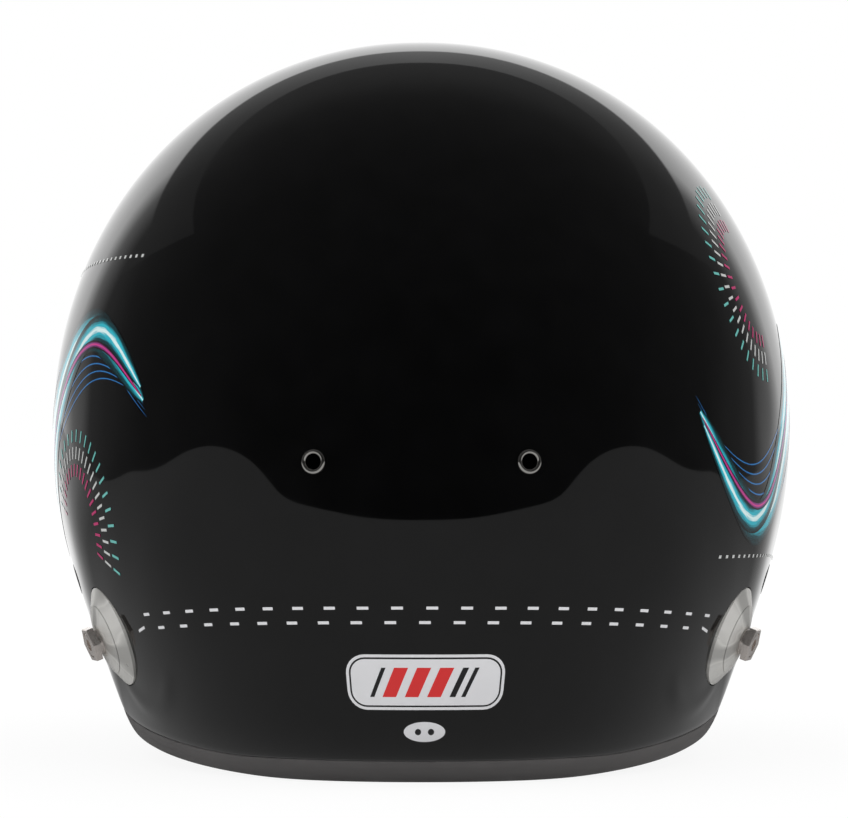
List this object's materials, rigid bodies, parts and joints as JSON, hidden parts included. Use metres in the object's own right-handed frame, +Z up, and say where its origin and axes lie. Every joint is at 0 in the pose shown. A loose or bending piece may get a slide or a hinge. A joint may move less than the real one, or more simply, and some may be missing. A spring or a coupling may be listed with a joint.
{
  "type": "auto racing helmet",
  "caption": "Full-face auto racing helmet with a hinged visor, visor lock, sliding chin vent, head restraint posts, padded liner and chin straps with D-rings.",
  "frame": {"origin": "on the floor, under the middle of the whole helmet", "axes": "+Z up, the wearer faces -Y, the wearer's left is +X; +Y runs along the length from front to rear"},
  "size_m": [0.2496, 0.3416, 0.2412],
  "materials": {
    "shell_paint": "gloss clear coat",
    "trim_rubber": "satin",
    "black_rubber": "matte",
    "foam": "beaded foam",
    "liner_cloth": "knitted cloth",
    "webbing": "woven",
    "visor_plastic": "smoke tint, gloss",
    "black_plastic": "satin",
    "mesh_steel": "black coated",
    "anodised_black": "black anodised",
    "machined_steel": "satin turned",
    "steel": "polished"
  },
  "bodies": {
    "shell": {"outer_shell": "shell_paint", "lower_edge_trim": "trim_rubber", "eyeport_gasket": "black_rubber", "left_anchor_gasket": "black_rubber", "right_anchor_gasket": "black_rubber", "crown_foam": "foam", "chin_foam": "foam", "crown_comfort_liner": "liner_cloth", "nape_pad": "liner_cloth", "left_cheek_pad": "liner_cloth", "right_cheek_pad": "liner_cloth", "left_strap_sleeve": "liner_cloth", "right_strap_sleeve": "liner_cloth", "left_chin_strap": "webbing", "right_chin_strap": "webbing", "visor_lock_base": "black_plastic", "chin_vent_frame": "black_plastic", "left_brow_vent": "black_plastic", "right_brow_vent": "black_plastic", "left_visor_base_plate": "black_plastic", "right_visor_base_plate": "black_plastic", "cheek_pad_studs": "black_plastic", "chin_vent_mesh": "mesh_steel", "left_anchor_base": "machined_steel", "right_anchor_base": "machined_steel", "left_anchor_cone": "machined_steel", "right_anchor_cone": "machined_steel", "left_visor_screw": "anodised_black", "right_visor_screw": "anodised_black", "visor_lock_screw": "anodised_black", "left_rear_vent_eyelet": "steel", "right_rear_vent_eyelet": "steel", "left_anchor_post": "steel", "right_anchor_post": "steel", "left_anchor_screw": "steel", "right_anchor_screw": "steel", "left_anchor_nut": "steel", "right_anchor_nut": "steel", "left_visor_nut": "steel", "right_visor_nut": "steel", "left_strap_plate": "steel", "right_strap_plate": "steel", "strap_rivets": "steel"},
    "visor": {"visor_shield": "visor_plastic", "left_tearoff_post": "anodised_black", "right_tearoff_post": "anodised_black"},
    "lock_lever": {"visor_lock_lever": "black_plastic"},
    "vent_shutter": {"chin_vent_shutter": "black_plastic"},
    "outer_ring": {"outer_d_ring": "steel"},
    "inner_ring": {"inner_d_ring": "steel"}
  },
  "joints": [
    {"name": "visor_hinge", "type": "hinge", "parent": "shell", "child": "visor", "pos_m": [0, -0.0151, 0.118], "axis": [-1, 0, 0], "range_deg": [0, 52]},
    {"name": "visor_lock_turn", "type": "hinge", "parent": "shell", "child": "lock_lever", "pos_m": [0.07309, -0.13155, 0.061], "axis": [0.761, -0.6488, 0.0066], "range_deg": [0, 90]},
    {"name": "chin_vent_slide", "type": "slide", "parent": "shell", "child": "vent_shutter", "axis": [0, 0, 1], "range_m": [0, 0.013]},
    {"name": "outer_ring_swing", "type": "hinge", "parent": "shell", "child": "outer_ring", "pos_m": [-0.03417, 0.02803, 0.042], "axis": [0.0955, 0.9954, 0], "range_deg": [0, 30]},
    {"name": "inner_ring_swing", "type": "hinge", "parent": "shell", "child": "inner_ring", "pos_m": [-0.02848, 0.02748, 0.042], "axis": [-0.0955, -0.9954, 0], "range_deg": [0, 80]}
  ]
}
